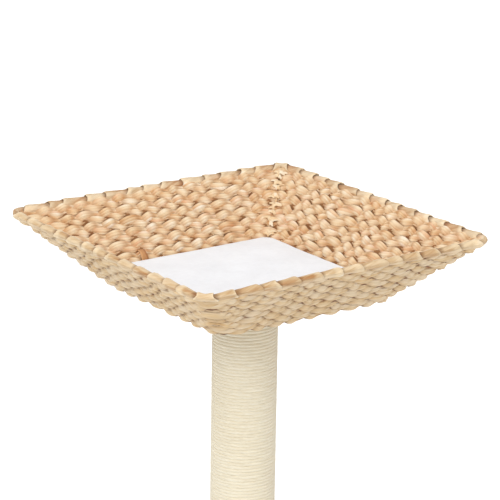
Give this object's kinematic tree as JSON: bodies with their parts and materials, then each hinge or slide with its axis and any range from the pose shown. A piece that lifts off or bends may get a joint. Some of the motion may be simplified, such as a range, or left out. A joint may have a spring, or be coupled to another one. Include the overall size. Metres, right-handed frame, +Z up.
{
  "type": "cat scratcher",
  "caption": "Round scratching post wound with sisal rope, on a square plush base, carrying a square flared woven basket with a white pad in its floor.",
  "frame": {"origin": "on the ground, under the middle of the post", "axes": "+Z up along the post, -Y towards the front, +X to the right"},
  "size_m": [0.405, 0.405, 0.5991],
  "materials": {
    "wire": "drawn steel wire, dull",
    "leaf_band": "dried leaf band, matte with a soft shine",
    "leaf_plait": "plaited dried leaf, matte with a soft shine",
    "board": "bare fibreboard",
    "pad_plush": "short white plush",
    "foam": "open foam",
    "tube_card": "spiral wound grey-brown card",
    "plug_wood": "turned softwood",
    "steel": "zinc plated",
    "sisal": "natural sisal, matte, fibrous",
    "base_plush": "short white plush",
    "liner": "black non-woven sheet",
    "foot_rubber": "matte black rubber"
  },
  "bodies": {
    "stand": {"rim_rod": "wire", "rim_binding": "leaf_band", "corner_stakes": "wire", "side_stakes": "wire", "weave_row_1": "leaf_plait", "weave_row_2": "leaf_plait", "weave_row_3": "leaf_plait", "weave_row_4": "leaf_plait", "weave_row_5": "leaf_plait", "weave_row_6": "leaf_plait", "weave_row_7": "leaf_plait", "basket_floor": "board", "post_tube": "tube_card", "top_plug": "plug_wood", "bottom_plug": "plug_wood", "plug_nails": "steel", "threaded_inserts": "steel", "post_bolts": "steel", "rope_turns": "sisal", "rope_sleeve": "sisal", "base_board": "board", "base_cover": "base_plush", "base_liner": "liner", "cover_staples": "steel", "feet": "foot_rubber", "foot_screws": "steel"},
    "pad": {"pad_cover": "pad_plush", "pad_foam": "foam"}
  },
  "joints": [
    {"name": "pad_lift", "type": "slide", "parent": "stand", "child": "pad", "axis": [0, 0, 1], "range_m": [0, 0.12]}
  ]
}
